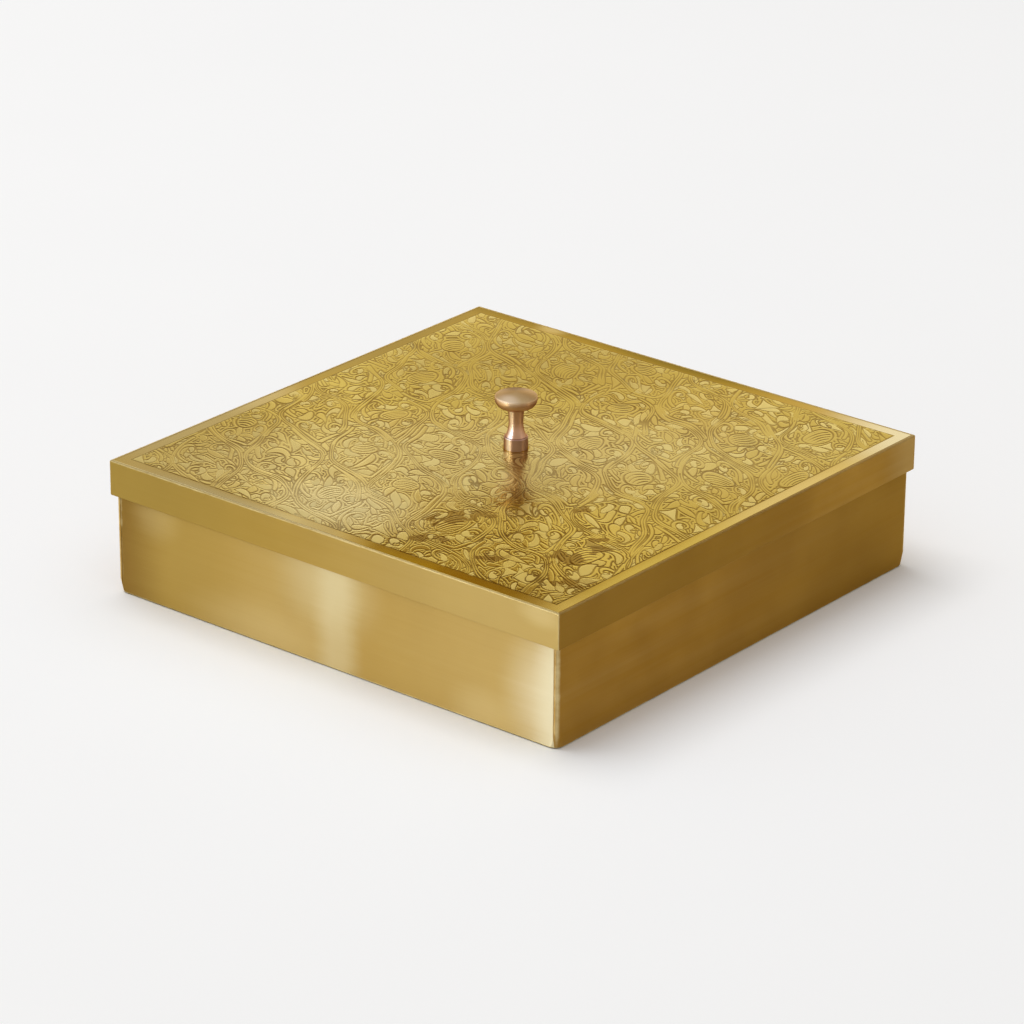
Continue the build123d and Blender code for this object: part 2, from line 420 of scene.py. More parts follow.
def draw_scrollwork(etching, columns, rows, draws):
    """A half-drop net of ogee medallions, broken here and there. Each holds paired scrolls round a
    hatched shell or a gusset, among loose curls and leaves."""
    between = draws.uniform
    corner = etching.half * math.sqrt(2)
    pitch_p = 2 * corner / columns
    pitch_q = 2 * corner / etching.stretch / rows
    size = pitch_p / 25.0  # the motifs are written down for medallions 25 mm apart
    centres = []
    for column in range(-columns - 1, columns + 2):
        for row in range(-rows, rows + 1):
            centre = (column * pitch_p / 2, (row + 0.5 * (column % 2)) * pitch_q)
            if abs(centre[0]) + abs(centre[1]) * etching.stretch < corner + 1.4 * pitch_p:
                centres.append(centre + between(-1, 1, 2) * (1.2, 2.0) * size)

    for centre in centres:
        turn = between(-0.5, 0.5)
        kind = draws.random()
        if kind < 0.45:
            length, width = between(3.6, 5.4) * size, between(2.4, 3.6) * size
            add_shell(etching, centre, turn, length, width, pitch=1.1, tone=0.2)
        elif kind < 0.6:
            add_gusset(etching, centre, 5.0 * size, turn + draws.choice((0.5, -0.5)) * np.pi, 1.0)

    points, broken = 41, 14
    height = np.linspace(-0.5, 0.5, points) * pitch_q
    net = []
    for centre in centres:
        for side in (1, -1):
            bulge = between(0.86, 1.04)
            p = centre[0] + side * bulge * ogee(height, pitch_p, pitch_q)
            path = np.stack([p, centre[1] + height], -1)
            first, last = draws.integers(0, broken), points - draws.integers(0, broken)
            path = path[first:last]
            net.append((path, tapered(path, 0.72, 0.45) * size))
    add_stems(etching, net, tone=0.0)

    scrolls = []
    for centre in centres:
        for at, radius, start, turns, way, lead in medallion_scrolls(centre, size, draws):
            if draws.random() < 0.15:  # a scroll is left out now and then
                continue
            path = spiral(at, radius, start, turns * between(0.7, 1.0), way, lead)
            scrolls.append((path, tapered(path, 0.55, 0.3)))
            turn = between(0, 6)
            sweep = between(2.5, 4.0) * way
            add_hook(etching, at, turn, 0.3 * radius, sweep, 0.24 * radius, tone=0.9)
    add_stems(etching, scrolls, tone=0.2, line_from=FAR)

    for centre in centres:
        for _ in range(7):  # loose motifs
            angle = between(0, 2 * np.pi)
            away = between(4.5, 9.5) * size
            place = centre + away * ((0.9, 1.3) * heading(angle))
            kind = draws.random()
            if kind < 0.55:
                add_hook(
                    etching, place, between(0, 6), between(1.6, 3.4) * size,
                    between(1.4, 3.0) * draws.choice((-1, 1)), between(0.8, 1.5) * size,
                    between(0.2, 1),
                )
            elif kind < 0.65:
                add_gusset(etching, place, between(2.6, 4.0) * size, between(0, 6), 1.0)
            else:
                add_leaf(
                    etching, place, between(0, 6), between(5, 9) * size, between(1.1, 1.9) * size,
                    between(-1.4, 1.4), 1, between(0.3, 1),
                )
    for path, _ in scrolls:
        leaves_beside(etching, path, 5.6 * size, 4.4 * size, 1.2 * size, draws)
    for path, _ in net:
        leaves_beside(etching, path, 8.0 * size, 5.2 * size, 1.3 * size, draws)
    fill_gaps(etching, widest=1.8, draws=draws)


def relief_of(etching, seat, pitch, draws, rim=0.4, fall=0.26, wear=0.08):
    """Relief of the field from its distances: 1 on the motifs and 0 in the grooves.

    Past each outline, the gap between motifs is hatched with ridges that follow it, a pitch apart,
    with a groove between each two. The sides of a groove fall over fall millimetres, and ripples of
    wear millimetres make the grooves finer here and bolder there. The field's edge, rim wide, and
    a ring round the knob's seat, of radius seat, are grooves.
    """
    x, y = np.meshgrid(etching.line, etching.line)
    to_edge = etching.half - np.maximum(np.abs(x), np.abs(y))
    to_seat = np.hypot(x, y) - seat
    ridge = 0.5 * (pitch - etching.groove)
    past = np.mod(etching.distance - etching.groove, pitch) - ridge
    hatch = np.where(etching.distance > etching.groove / 2, np.abs(past) - ridge, FAR)
    distance = np.minimum(etching.distance, hatch) + wear * ripple(x, y, 5.0, 18.0, draws)
    distance = np.maximum(distance, rim - np.minimum(to_edge, to_seat))
    return np.clip(0.5 - distance / fall, 0, 1)


# ---- Meshes ----


def new_mesh_object(name, points, faces, smooth_faces=0):
    """A mesh object from points and faces, the first smooth_faces of them shaded smooth."""
    mesh = bpy.data.meshes.new(name)
    mesh.from_pydata(points, [], faces)
    mesh.polygons.foreach_set("use_smooth", np.arange(len(faces)) < smooth_faces)
    if mesh.validate():
        raise RuntimeError(f"the mesh of {name} had faces that Blender refused")
    made = bpy.data.objects.new(name, mesh)
    bpy.context.scene.collection.objects.link(made)
    return made


def closed_plate(name, x, y, top, bottom):
    """A plate whose top is a surface over a grid, z = top(x, y), closed by straight sides and a
    flat underside that fans out from its middle."""
    surface = np.stack([*np.meshgrid(x, y), top], -1).reshape(-1, 3)
    number = np.arange(top.size).reshape(top.shape)
    quads = np.stack([number[:-1, :-1], number[:-1, 1:], number[1:, 1:], number[1:, :-1]], -1)
    quads = quads.reshape(-1, 4)
    rim = np.concatenate([number[0, :-1], number[:-1, -1], number[-1, :0:-1], number[:0:-1, 0]])
    foot = surface[rim].copy()
    foot[:, 2] = bottom
    below = len(surface) + np.arange(len(rim))
    sides = np.stack([rim, below, np.roll(below, -1), np.roll(rim, -1)], -1)
    middle = np.array([[x.mean(), y.mean(), bottom]])
    centre = np.full(len(rim), len(surface) + len(rim))
    underside = np.stack([centre, np.roll(below, -1), below], -1)
    points = np.concatenate([surface, foot, middle])
    faces = quads.tolist() + sides.tolist() + underside.tolist()
    return new_mesh_object(name, points, faces, len(quads))


def shade_as(made, normals):
    """Shade a mesh with the normals given for its first vertices; the others face down.

    They are worked out over the whole field, so no seam shows between two plates.
    """
    whole = np.tile((0.0, 0.0, -1.0), (len(made.data.vertices), 1))
    whole[: normals.size // 3] = normals.reshape(-1, 3)
    made.data.normals_split_custom_set_from_vertices(whole.tolist())


def vertex_values(made, name, values):
    """Store one number for each vertex of a mesh; vertices past the end of values get 0."""
    whole = np.zeros(len(made.data.vertices), np.float32)
    whole[: values.size] = values.ravel()
    made.data.attributes.new(name, "FLOAT", "POINT").data.foreach_set("value", whole)


# ---- Shader node helpers: a node goes into the tree of the outputs that feed it ----


def feed(socket, value):
    """Link an output to a socket, or set the socket's value; None leaves it as it is."""
    if isinstance(value, bpy.types.NodeSocket):
        socket.id_data.links.new(value, socket)
    elif value is not None:
        if hasattr(socket.default_value, "__len__") and len(socket.default_value) == 4:
            value = (*value[:3], 1.0)
        socket.default_value = value


def fill(node, **values):
    """Feed inputs of a node, named with _ for a space."""
    for label, value in values.items():
        feed(node.inputs[label.replace("_", " ")], value)


def new_node(kind, inputs, **settings):
    """A shader node with its settings, and its inputs fed in order or by name."""
    named = inputs if isinstance(inputs, dict) else dict(enumerate(inputs))
    source = next(value for value in named.values() if isinstance(value, bpy.types.NodeSocket))
    node = source.id_data.nodes.new("ShaderNode" + kind)
    for name, value in settings.items():
        setattr(node, name, value)
    for label, value in named.items():
        feed(node.inputs[label], value)
    return node


def calc(operation, *values, clamp=False):
    """A Math node."""
    return new_node("Math", values, operation=operation, use_clamp=clamp).outputs[0]


def times(a, b):
    """a times b."""
    return calc("MULTIPLY", a, b)


def one_less(value, whole=1.0):
    """1, or another whole, less a value, and kept between 0 and 1."""
    return calc("SUBTRACT", whole, value, clamp=True)


def rise(value, slope, start, clamp=False):
    """A straight line: slope times value, plus start."""
    return calc("MULTIPLY_ADD", value, slope, start, clamp=clamp)


def vector_calc(operation, *values):
    """A Vector Math node: a length, or else a vector."""
    outputs = new_node("VectorMath", values, operation=operation).outputs
    return outputs["Value" if operation == "LENGTH" else "Vector"]


def mix(factor, a, b, mode="MIX"):
    """A colour Mix node."""
    inputs = {0: factor, 6: a, 7: b}
    return new_node("Mix", inputs, data_type="RGBA", blend_type=mode).outputs[2]


def toned(colour, tone):
    """A colour from a node times a plain one."""
    return mix(1.0, colour, tone, "MULTIPLY")


def spread(value, low, high, out_low=0.0, out_high=1.0):
    """A Map Range node, clamped, with smooth ends."""
    values = (value, low, high, out_low, out_high)
    return new_node("MapRange", values, interpolation_type="SMOOTHSTEP").outputs[0]


def noise(vector, scale, detail=2.0, roughness=0.5, output="Fac"):
    """A Noise Texture."""
    inputs = {"Vector": vector, "Scale": scale, "Detail": detail, "Roughness": roughness}
    return new_node("TexNoise", inputs).outputs[output]


def mapped(vector, location=None, rotation=None, scale=None, kind="POINT"):
    """A Mapping node."""
    return new_node("Mapping", (vector, location, rotation, scale), vector_type=kind).outputs[0]


def bump(height, distance, strength=1.0, normal=None):
    """A Bump node, with its distance in metres."""
    inputs = {"Height": height, "Distance": distance, "Strength": strength, "Normal": normal}
    return new_node("Bump", inputs).outputs[0]


def axes(vector):
    """x, y and z of a vector."""
    return new_node("SeparateXYZ", (vector,)).outputs


def vector_of(x, y, z=None):
    """A vector of x, y and z."""
    return new_node("CombineXYZ", (x, y, z)).outputs[0]


def seen_ray(tree):
    """1 for rays from the camera, from metal or through glass, and 0 for those that light a
    surface."""
    path = tree.nodes.new("ShaderNodeLightPath").outputs
    seen = calc("MAXIMUM", path["Is Camera Ray"], path["Is Glossy Ray"])
    return calc("MAXIMUM", seen, path["Is Transmission Ray"])


def attribute(shader, name):
    """A number that the mesh holds for each vertex."""
    node = shader.id_data.nodes.new("ShaderNodeAttribute")
    node.attribute_name = name
    return node.outputs["Fac"]


def new_material(name):
    """A node material: (material, its Principled BSDF, the object's coordinates)."""
    material = bpy.data.materials.new(name)
    material.use_nodes = True
    tree = material.node_tree
    tree.nodes.clear()
    shader = tree.nodes.new("ShaderNodeBsdfPrincipled")
    feed(tree.nodes.new("ShaderNodeOutputMaterial").inputs["Surface"], shader.outputs[0])
    return material, shader, tree.nodes.new("ShaderNodeTexCoord").outputs["Object"]


def new_group(name, floats, outputs):
    """An empty node group with a vector and floats put in, and floats put out: (the outputs of its
    input node, the inputs of its output node)."""
    tree = bpy.data.node_groups.new(name, "ShaderNodeTree")
    tree.interface.new_socket("Vector", in_out="INPUT", socket_type="NodeSocketVector")
    for label, default in floats.items():
        socket = tree.interface.new_socket(label, in_out="INPUT", socket_type="NodeSocketFloat")
        socket.default_value = default
    for label in outputs:
        tree.interface.new_socket(label, in_out="OUTPUT", socket_type="NodeSocketFloat")
    return tree.nodes.new("NodeGroupInput").outputs, tree.nodes.new("NodeGroupOutput").inputs


def make_grain(name):
    """Fine brushing: noise stretched along the grain. Height is for a bump, Streaks for tone."""
    given, result = new_group(name, {"Along": 14.0, "Across": 2600.0}, ("Height", "Streaks"))
    size = vector_of(given["Along"], given["Along"], given["Across"])
    stretched = mapped(given["Vector"], scale=size)
    feed(result["Height"], noise(stretched, 1.0, 3.0, 0.65))
    feed(result["Streaks"], noise(mapped(stretched, scale=(0.5, 0.5, 0.12)), 1.0))


def make_edges(name):
    """Edges of a square box made pale by wear and by painted highlights: 1 on its upright corners
    and its upper and lower edges, falling to 0 over Corner and Reach, and broken up by noise."""
    floats = {"Half width": 0.1, "Low": 0.0, "High": 0.05, "Reach": 0.001, "Corner": 0.001}
    given, result = new_group(name, floats, ("Mask",))
    x, y, z = axes(given["Vector"])
    in_x = calc("SUBTRACT", given["Half width"], calc("ABSOLUTE", x))
    in_y = calc("SUBTRACT", given["Half width"], calc("ABSOLUTE", y))
    corner = calc("DIVIDE", calc("MAXIMUM", in_x, in_y), given["Corner"])
    over = calc("SUBTRACT", z, given["Low"])
    under = calc("SUBTRACT", given["High"], z)
    level = calc("DIVIDE", calc("MINIMUM", over, under), given["Reach"])
    share = calc("MINIMUM", corner, level)
    patchy = noise(given["Vector"], 260.0, 3.0, 0.6)
    ragged = rise(patchy, 0.9, calc("SUBTRACT", share, 0.45))
    feed(result["Mask"], spread(ragged, 0.0, 1.0, 1.0, 0.0))


def make_marks(name):
    """Handling marks and stains: Stain is soft clouds a few centimetres across."""
    given, result = new_group(name, {}, ("Stain",))
    feed(result["Stain"], spread(noise(given["Vector"], 22.0, 3.0, 0.55), 0.32, 0.68))


GROUPS = {"Brushed grain": make_grain, "Worn and highlighted edges": make_edges, "Handling marks": make_marks}


def use_group(name, **values):
    """Place one of the GROUPS, built the first time, with its inputs named with _ for a space."""
    if name not in bpy.data.node_groups:
        GROUPS[name](name)
    inputs = {label.replace("_", " "): value for label, value in values.items()}
    return new_node("Group", inputs, node_tree=bpy.data.node_groups[name]).outputs


# ---- Materials ----


def times_colour(colour, by):
    """A plain colour times a number, or times three."""
    return tuple(np.multiply(colour, by))


def spot(place, centre, reach, strength, turn=0):
    """A soft oval spot: strength at its centre, and 0 from its edge on.

    centre and reach, its half axes, are in millimetres, and without z where it is the same at every
    height. A reach of 0 is one without an end. The spot is turned by turn degrees.
    """
    endless, solid = 1e9, 0.15  # millimetres, and the share of its reach that is at full strength
    centre, reach = (*centre, 0)[:3], (*reach, 0)[:3]
    within = mapped(
        place, tuple(c * MM for c in centre), (0, 0, math.radians(turn)),
        tuple((size or endless) * MM for size in reach), "TEXTURE",
    )
    return spread(vector_calc("LENGTH", within), solid, 1.0, strength, 0.0)


def tinted(place, colour, spots):
    """A colour with soft spots of others, each the tint and what spot needs."""
    for tint, *shape in spots:
        colour = mix(spot(place, *shape), colour, tint)
    return colour


def metal(shader, coat, edge_tint):
    """Make a shader bare metal under a thin lacquer."""
    fill(shader, Metallic=1.0, Specular_Tint=edge_tint, Coat_Weight=coat, Coat_Roughness=0.15)


def stretch_gloss(shader, anisotropy):
    """Stretch the gloss across a grain that runs round the upright axis."""
    tangent = shader.id_data.nodes.new("ShaderNodeTangent")
    tangent.direction_type = "RADIAL"
    tangent.axis = "Z"
    fill(shader, Tangent=tangent.outputs[0], Anisotropic=anisotropy, Anisotropic_Rotation=0.25)


def brushed_brass(
    name, metals, half, low, high, corner, tone=DULL, spots=(), edge_wear_and_highlight=0.7, contact_shadow=0.0, flat=False
):
    """Satin sheet brass with level brushing, slight dents in the sheet, and edges made pale by wear
    and by painted highlights.

    half, low and high are the box of its edges, which are made pale by rub, wear together with
    painted highlight, its upright corners over a width of corner. tone is multiplied into its
    colour; on the front and right sheets it paints light and shade, the front lighter and the right
    darker. spots are where its colour is made pale or dark; on the front and right sheets they are
    painted highlights, painted reflections and painted shade. grime is the strength of the dark
    line along its foot, a painted contact shadow. flat brushes a level sheet along x.
    """
    material, shader, place = new_material(name)
    along = mapped(place, rotation=(math.pi / 2 if flat else 0, 0, 0))
    grain = use_group("Brushed grain", Vector=along)
    foot = low + 0.3 * MM if contact_shadow else low - 10 * MM  # with no painted contact shadow, the lower edge gets neither wear nor painted highlight
    edges = use_group(
        "Worn and highlighted edges", Vector=place, Half_width=half, Low=foot, High=high, Reach=0.5 * MM,
        Corner=corner,
    )
    stain = use_group("Handling marks", Vector=place)["Stain"]
    deep = times_colour(metals.brass, (0.80, 0.74, 0.6))
    colour = mix(times(stain, 0.8), metals.brass, deep)
    streaks = rise(grain["Streaks"], 0.16, -0.04, clamp=True)
    colour = mix(streaks, colour, metals.brass_pale)
    shift = rise(grain["Streaks"], 4 * MM, -2 * MM)
    # painted highlights, painted reflections and painted shade from the spots
    colour = tinted(vector_calc("ADD", place, vector_of(shift, shift)), colour, spots)
    # edges made pale by rub: wear together with painted edge highlights
    colour = mix(times(edges["Mask"], edge_wear_and_highlight), colour, metals.brass_pale)
    # painted contact shadow: a dark line along the foot
    if contact_shadow:
        line = spread(axes(place)[2], low + 0.1 * MM, low + 0.5 * MM, contact_shadow, 0.0)
        colour = mix(line, colour, times_colour(metals.brass, 0.2))
    dents = noise(mapped(place, (0.35, 0.2, 0.1), scale=(17.0, 17.0, 6.0)), 1.0, 1.0, 0.4)
    fill(
        shader, Base_Color=toned(colour, tone),
        Roughness=rise(stain, 0.05, rise(grain["Height"], 0.12, 0.44)),
        Normal=bump(grain["Height"], 0.02 * MM, 0.5, bump(dents, 0.9 * MM)),
    )
    metal(shader, 0.06, (1.0, 0.82, 0.45))
    stretch_gloss(shader, 0.8)
    return material


def lid_waves(place, height):
    """The slight waves of the lid's sheet, up to height metres high, as a normal."""
    return bump(noise(place, 38.0, 2.0, 0.35), height)


def polished_brass(name, metals, spots=()):
    """Near-mirror brass with faint clouds, and with any spots given: painted dark reflections and
    painted sheen.
    """
    material, shader, place = new_material(name)
    stain = use_group("Handling marks", Vector=place)["Stain"]
    plain = times_colour(metals.brass, (0.95, 1.10, 1.03))
    colour = mix(stain, plain, times_colour(plain, (0.90, 0.87, 0.75)))
    fill(
        shader, Base_Color=toned(tinted(place, colour, spots), (0.87, 0.865, 0.86)),
        Roughness=rise(stain, 0.05, 0.08), Normal=lid_waves(place, 0.06 * MM),
    )
    metal(shader, 0.08, (1.0, 0.86, 0.5))
    return material


# Painted light and shade on the etched field, as spots of colour, centre, reach, strength and turn:
# painted darker reflections towards the back and the left end of the front, and painted brighter
# reflections towards the front right and the middle of the front
FIELD_PAINTED_LIGHT = (
    ((0.46, 0.33, 0.04), (-45, 62), (100, 60), 0.65, 45),
    ((0.46, 0.33, 0.05), (-86, -58), (50, 60), 0.5),
    ((0.98, 0.78, 0.17), (60, -60), (70, 50), 0.5, 45),
    ((0.98, 0.80, 0.28), (-18, -66), (56, 46), 0.5),
)

# Painted dark reflections on the etched field, in ragged brown patches: x, y, length, width and
# turn
FIELD_DARK_REFLECTIONS = (
    (25, -54, 15, 5.5, 62), (20, -62, 8, 6, 40), (27, -77, 11, 5, 40), (52, -75, 8, 5, 40),
    (70, -61, 9, 7, 40), (84, -74, 11, 5.5, 40), (50, -26, 4, 4, 0), (71, -46, 11, 5, -50),
)
RAGGED = 16  # millimetres, from side to side, over which the outlines of the painted dark reflections wander


def etched_brass(name, metals):
    """The etched field: polished plain metal, frosted motifs and dark grooves under lacquer.

    A painted sheen, pale and whitish, lies from the front left corner to the back right one, with a
    rougher smear before the knob, and painted dark reflections, brown, lie on the polished metal
    towards the front right corner. Some grooves are rubbed faint.
    """
    material, shader, place = new_material(name)
    stain = use_group("Handling marks", Vector=place)["Stain"]
    frosted = spread(attribute(shader, "tone"), 0.1, 0.9)
    surface = mix(frosted, metals.field, metals.frosted)
    surface = mix(times(stain, 0.2), surface, metals.brass)
    # painted darker and brighter reflections from the field's spots
    surface = tinted(place, surface, FIELD_PAINTED_LIGHT)
    swirl = noise(place, 190.0, output="Color")
    ragged = vector_calc("MULTIPLY_ADD", swirl, (RAGGED * MM, RAGGED * MM, 0), place)
    # painted dark reflections, brown, in ragged patches on the polished metal
    dark_reflection = 0.0
    for x, y, length, width, turn in FIELD_DARK_REFLECTIONS:
        centre = (x + RAGGED / 2, y + RAGGED / 2)  # since swirl is a half on average
        dark_reflection = calc("MAXIMUM", dark_reflection, spot(ragged, centre, (length, width), 1.0, turn))
    dark_reflection = times(spread(dark_reflection, 0.2, 0.45, 0.0, 0.92), one_less(frosted, 1.15))
    surface = mix(dark_reflection, surface, (0.31, 0.17, 0.004))
    worn = spread(noise(place, 70.0, 2.0, 0.6), 0.35, 0.65, 1.0, 0.65)
    groove = times(spread(attribute(shader, "etched"), 0.2, 0.75), worn)
    colour = mix(groove, surface, metals.ground)
    # painted sheen: a pale veil from the front left to the back right, strongest at the front left
    painted_sheen = calc(
        "MAXIMUM", spot(place, (-8, -22), (170, 55), 1.0, 45),
        spot(place, (-14, -74), (44, 34), 2.2),
    )
    painted_sheen = times(painted_sheen, one_less(dark_reflection))
    # the painted sheen pales the colour towards cream, less in the grooves
    colour = mix(times(painted_sheen, rise(groove, -0.12, 0.29)), colour, (0.96, 0.90, 0.64))
    smear = times(spot(place, (24, -20), (30, 18), 0.12, -51), one_less(frosted))
    frost = noise(place, 2400.0, 2.0, 0.6)
    satin = rise(painted_sheen, 0.05, rise(frost, 0.05, rise(frosted, 0.2, 0.07)))
    fill(
        shader, Base_Color=toned(colour, (0.81, 0.79, 0.70)), Roughness=calc("ADD", satin, smear),
        Normal=bump(frost, 0.004 * MM, 0.6, lid_waves(place, 0.13 * MM)),
    )
    metal(shader, 0.08, (1.0, 0.92, 0.65))
    return material


def turned_copper(name, colour, worn, patina, crown):
    """Satin copper plating with fine turning rings about the upright axis.

    crown is the height of the knob's top. The plating is worn within 3 mm of it, made pale by
    painted highlights on the front of the head and of the stem, and browned on the back left of the
    head.
    """
    material, shader, place = new_material(name)
    x, y, z = axes(place)
    radius = calc("SQRT", calc("ADD", times(x, x), times(y, y)))
    turning = noise(vector_of(times(radius, 5200.0), times(z, 5200.0)), 1.0, 2.0, 0.6)
    stain = use_group("Handling marks", Vector=place)["Stain"]
    plating = mix(times(stain, 0.5), colour, times_colour(colour, (0.74, 0.64, 0.60)))
    near_top = spread(z, crown - 3.2 * MM, crown - 1.0 * MM)
    plating = mix(times(near_top, 0.9), plating, worn)
    # painted highlight down the front of the stem and the collar
    painted_highlight = times(spot(place, (0.1, -3.4), (1.5, 2.4), 0.85), one_less(near_top))
    plating = mix(painted_highlight, plating, (0.86, 0.78, 0.78))
    # a painted highlight on the front of the head's rim, and the brown patina
    plating = tinted(
        place, plating, (
            ((1.0, 0.84, 0.66), (1, -5.5, crown / MM - 1.5), (6, 4, 3), 0.6),
            (patina, (-4.8, 4.8, crown / MM), (6.5, 9, 5), 0.95, 40),
        ),
    )
    fill(
        shader, Base_Color=plating, Roughness=rise(near_top, 0.16, rise(turning, 0.08, 0.34)),
        Normal=bump(turning, 0.006 * MM, 0.4),
    )
    metal(shader, 0.12, (0.9, 0.64, 0.38))
    stretch_gloss(shader, 0.4)
    return material


def dull_braze(name, metals):
    """Brazing metal as the torch leaves it: uneven and dull."""
    material, shader, place = new_material(name)
    ripples = noise(place, 700.0, 3.0, 0.6)
    fill(
        shader, Base_Color=mix(ripples, metals.brass, times_colour(metals.brass, 0.55)),
        Roughness=rise(ripples, 0.2, 0.4), Metallic=1.0, Normal=bump(ripples, 0.15 * MM, 0.8),
    )
    return material


def plain_steel(name):
    """Bright steel of the screw."""
    material, shader, place = new_material(name)
    scratches = noise(mapped(place, scale=(900.0, 3000.0, 900.0)), 1.0, 3.0, 0.6)
    fill(
        shader, Base_Color=mix(scratches, (0.62, 0.62, 0.6), (0.42, 0.41, 0.4)),
        Roughness=rise(scratches, 0.15, 0.22), Metallic=1.0, Normal=bump(scratches, 0.01 * MM, 0.5),
    )
    return material


def dress(node, material):
    """Give a carried CAD node its material."""
    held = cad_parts[node].data.materials
    held.clear()
    held.append(material)


# ---- Operators ----


class SWEETBOX_OT_stage(bpy.types.Operator):
    """Make the floor, the light and the camera"""

    bl_idname = "sweetbox.stage"
    bl_label = "Stage"

    def execute(self, context):
        stage = context.scene.sweetbox_stage
        self.add_floor(stage)
        self.add_world(context.scene)
        self.add_lamps()
        self.add_camera(context.scene, stage)
        context.scene.view_settings.view_transform = "Standard"
        return {"FINISHED"}

    def add_floor(self, stage):
        """A round floor with a matt pale finish, that passes into the backdrop further out."""
        radius, sides = 14.0, 96
        share = np.linspace(0, 1, sides + 1)[:-1] * 2 * np.pi
        ring = np.stack([radius * np.cos(share), radius * np.sin(share), 0 * share], -1)
        points = np.vstack([[0, 0, 0], ring])
        number = np.arange(1, len(points))
        faces = np.stack([0 * number, number, np.roll(number, -1)], -1)
        floor = new_mesh_object("floor", points, faces)
        material, shader, place = new_material("pale floor")
        near = mix(noise(place, 9.0), stage.floor, times_colour(stage.floor, 0.985))
        far = spread(vector_calc("LENGTH", place), FLOOR_NEAR, FLOOR_FAR)
        far = times(seen_ray(material.node_tree), far)
        fill(
            shader, Base_Color=mix(far, near, (0, 0, 0)), Roughness=0.9,
            Specular_IOR_Level=0.0, Emission_Color=mix(far, (0, 0, 0), BACKDROP),
            Emission_Strength=1.0,
        )
        floor.data.materials.append(material)

    def add_world(self, scene):
        """A plain room: bright overhead, and dim low down, warm and darkest behind the box. The
        camera and metal see a pale backdrop in its lowest part."""
        world = bpy.data.worlds.new("room")
        world.use_nodes = True
        tree = world.node_tree
        x, y, z = axes(tree.nodes.new("ShaderNodeTexCoord").outputs["Generated"])
        walls = mix(spread(y, -0.3, 0.5), (0.40, 0.395, 0.38), (0.265, 0.165, 0.04))
        camera_side = rise(x, 0.63, times(y, -0.77))  # 1 straight towards the camera
        walls = mix(spread(camera_side, 0.6, 0.95), walls, (0.42, 0.36, 0.26))
        room = mix(spread(z, 0.49, 0.95), walls, (0.85, 0.875, 0.915))
        low = times(seen_ray(tree), spread(z, 0.22, 0.42, 1.0, 0.0))
        fill(tree.nodes["Background"], Color=mix(low, room, BACKDROP))
        scene.world = world

    def add_lamp(self, name, place, towards, width, height, radiance, colour=(1, 1, 1)):
        """A soft box that shines against the direction towards."""
        lamp = bpy.data.lights.new(name, "AREA")
        lamp.shape = "RECTANGLE"
        lamp.size, lamp.size_y = width, height
        lamp.energy = radiance * math.pi * width * height
        lamp.color = colour
        held = bpy.data.objects.new(name, lamp)
        held.location = place
        held.rotation_euler = towards.to_track_quat("Z", "Y").to_euler()
        held.visible_camera = False
        bpy.context.scene.collection.objects.link(held)
        return held

    def add_lamps(self):
        """Soft boxes, each as (name, turn, rise, distance, width, height, radiance), and upright
        panels 2 m behind the box, each as (name, from, to, foot, top, radiance, colour). The key
        lights matt surfaces only, and the others show only as reflections in metal."""
        boxes = (
            ("key", -168.0, 73.0, 3.2, 2.0, 2.0, 3.5),
            ("side", -134.0, 24.0, 1.6, 2.2, 1.0, 1.1),
            ("strip", -104.0, 12.0, 1.5, 0.3, 0.5, 7.5),
            ("rim", 20.0, 25.0, 1.6, 0.5, 0.5, 1.2),
        )
        for name, turn, lift, distance, width, height, radiance in boxes:
            turn, lift = math.radians(turn), math.radians(lift)
            towards = Vector(
                (math.cos(turn) * math.cos(lift), math.sin(turn) * math.cos(lift), math.sin(lift))
            )
            held = self.add_lamp(name, towards * distance, towards, width, height, radiance)
            held.visible_diffuse = name == "key"
            held.visible_glossy = name != "key"
        white, cool, amber = (1, 1, 1), (0.97, 1.0, 1.06), (1.0, 0.68, 0.1)
        panels = (
            ("left panel", 0.20, 1.1, 0.0, 1.00, 0.62, cool),
            ("sheen panel", 0.12, 0.20, 0.0, 1.00, 0.90, cool),
            ("middle panel", -0.025, 0.12, 0.0, 0.925, 0.70, white),
            ("glow panel", -0.025, 0.12, 0.93, 1.30, 0.10, amber),
            ("right panel", -1.0, -0.025, 0.0, 1.06, 0.68, white),
        )
        away, turn = 2.0, math.radians(129.2)  # straight away from the camera
        ahead = Vector((math.cos(turn), math.sin(turn), 0))
        beside = Vector((-ahead.y, ahead.x, 0))
        for name, first, last, foot, top, radiance, colour in panels:
            place = ahead * away + beside * (first + last) / 2 + Vector((0, 0, (foot + top) / 2))
            held = self.add_lamp(name, place, ahead, last - first, top - foot, radiance, colour)
            held.visible_diffuse = False

    def add_camera(self, scene, stage):
        """The camera looks down at the box from its front right corner, at a place just beside its
        middle."""
        turn = (
            Matrix.Rotation(stage.azimuth, 4, "Z")
            @ Matrix.Rotation(math.pi / 2 - stage.elevation, 4, "X")
        )
        target = Vector((-1.332 * MM, -0.145 * MM, LID_TOP / 2))
        back = turn.to_3x3() @ Vector((0, 0, 1))
        lens = bpy.data.cameras.new("camera")
        lens.lens = stage.lens
        lens.sensor_width = 36.0
        lens.clip_end = 100.0
        camera = bpy.data.objects.new("camera", lens)
        roll = Matrix.Rotation(stage.roll, 4, "Z")
        camera.matrix_world = Matrix.Translation(target + back * stage.distance) @ turn @ roll
        scene.collection.objects.link(camera)
        scene.camera = camera


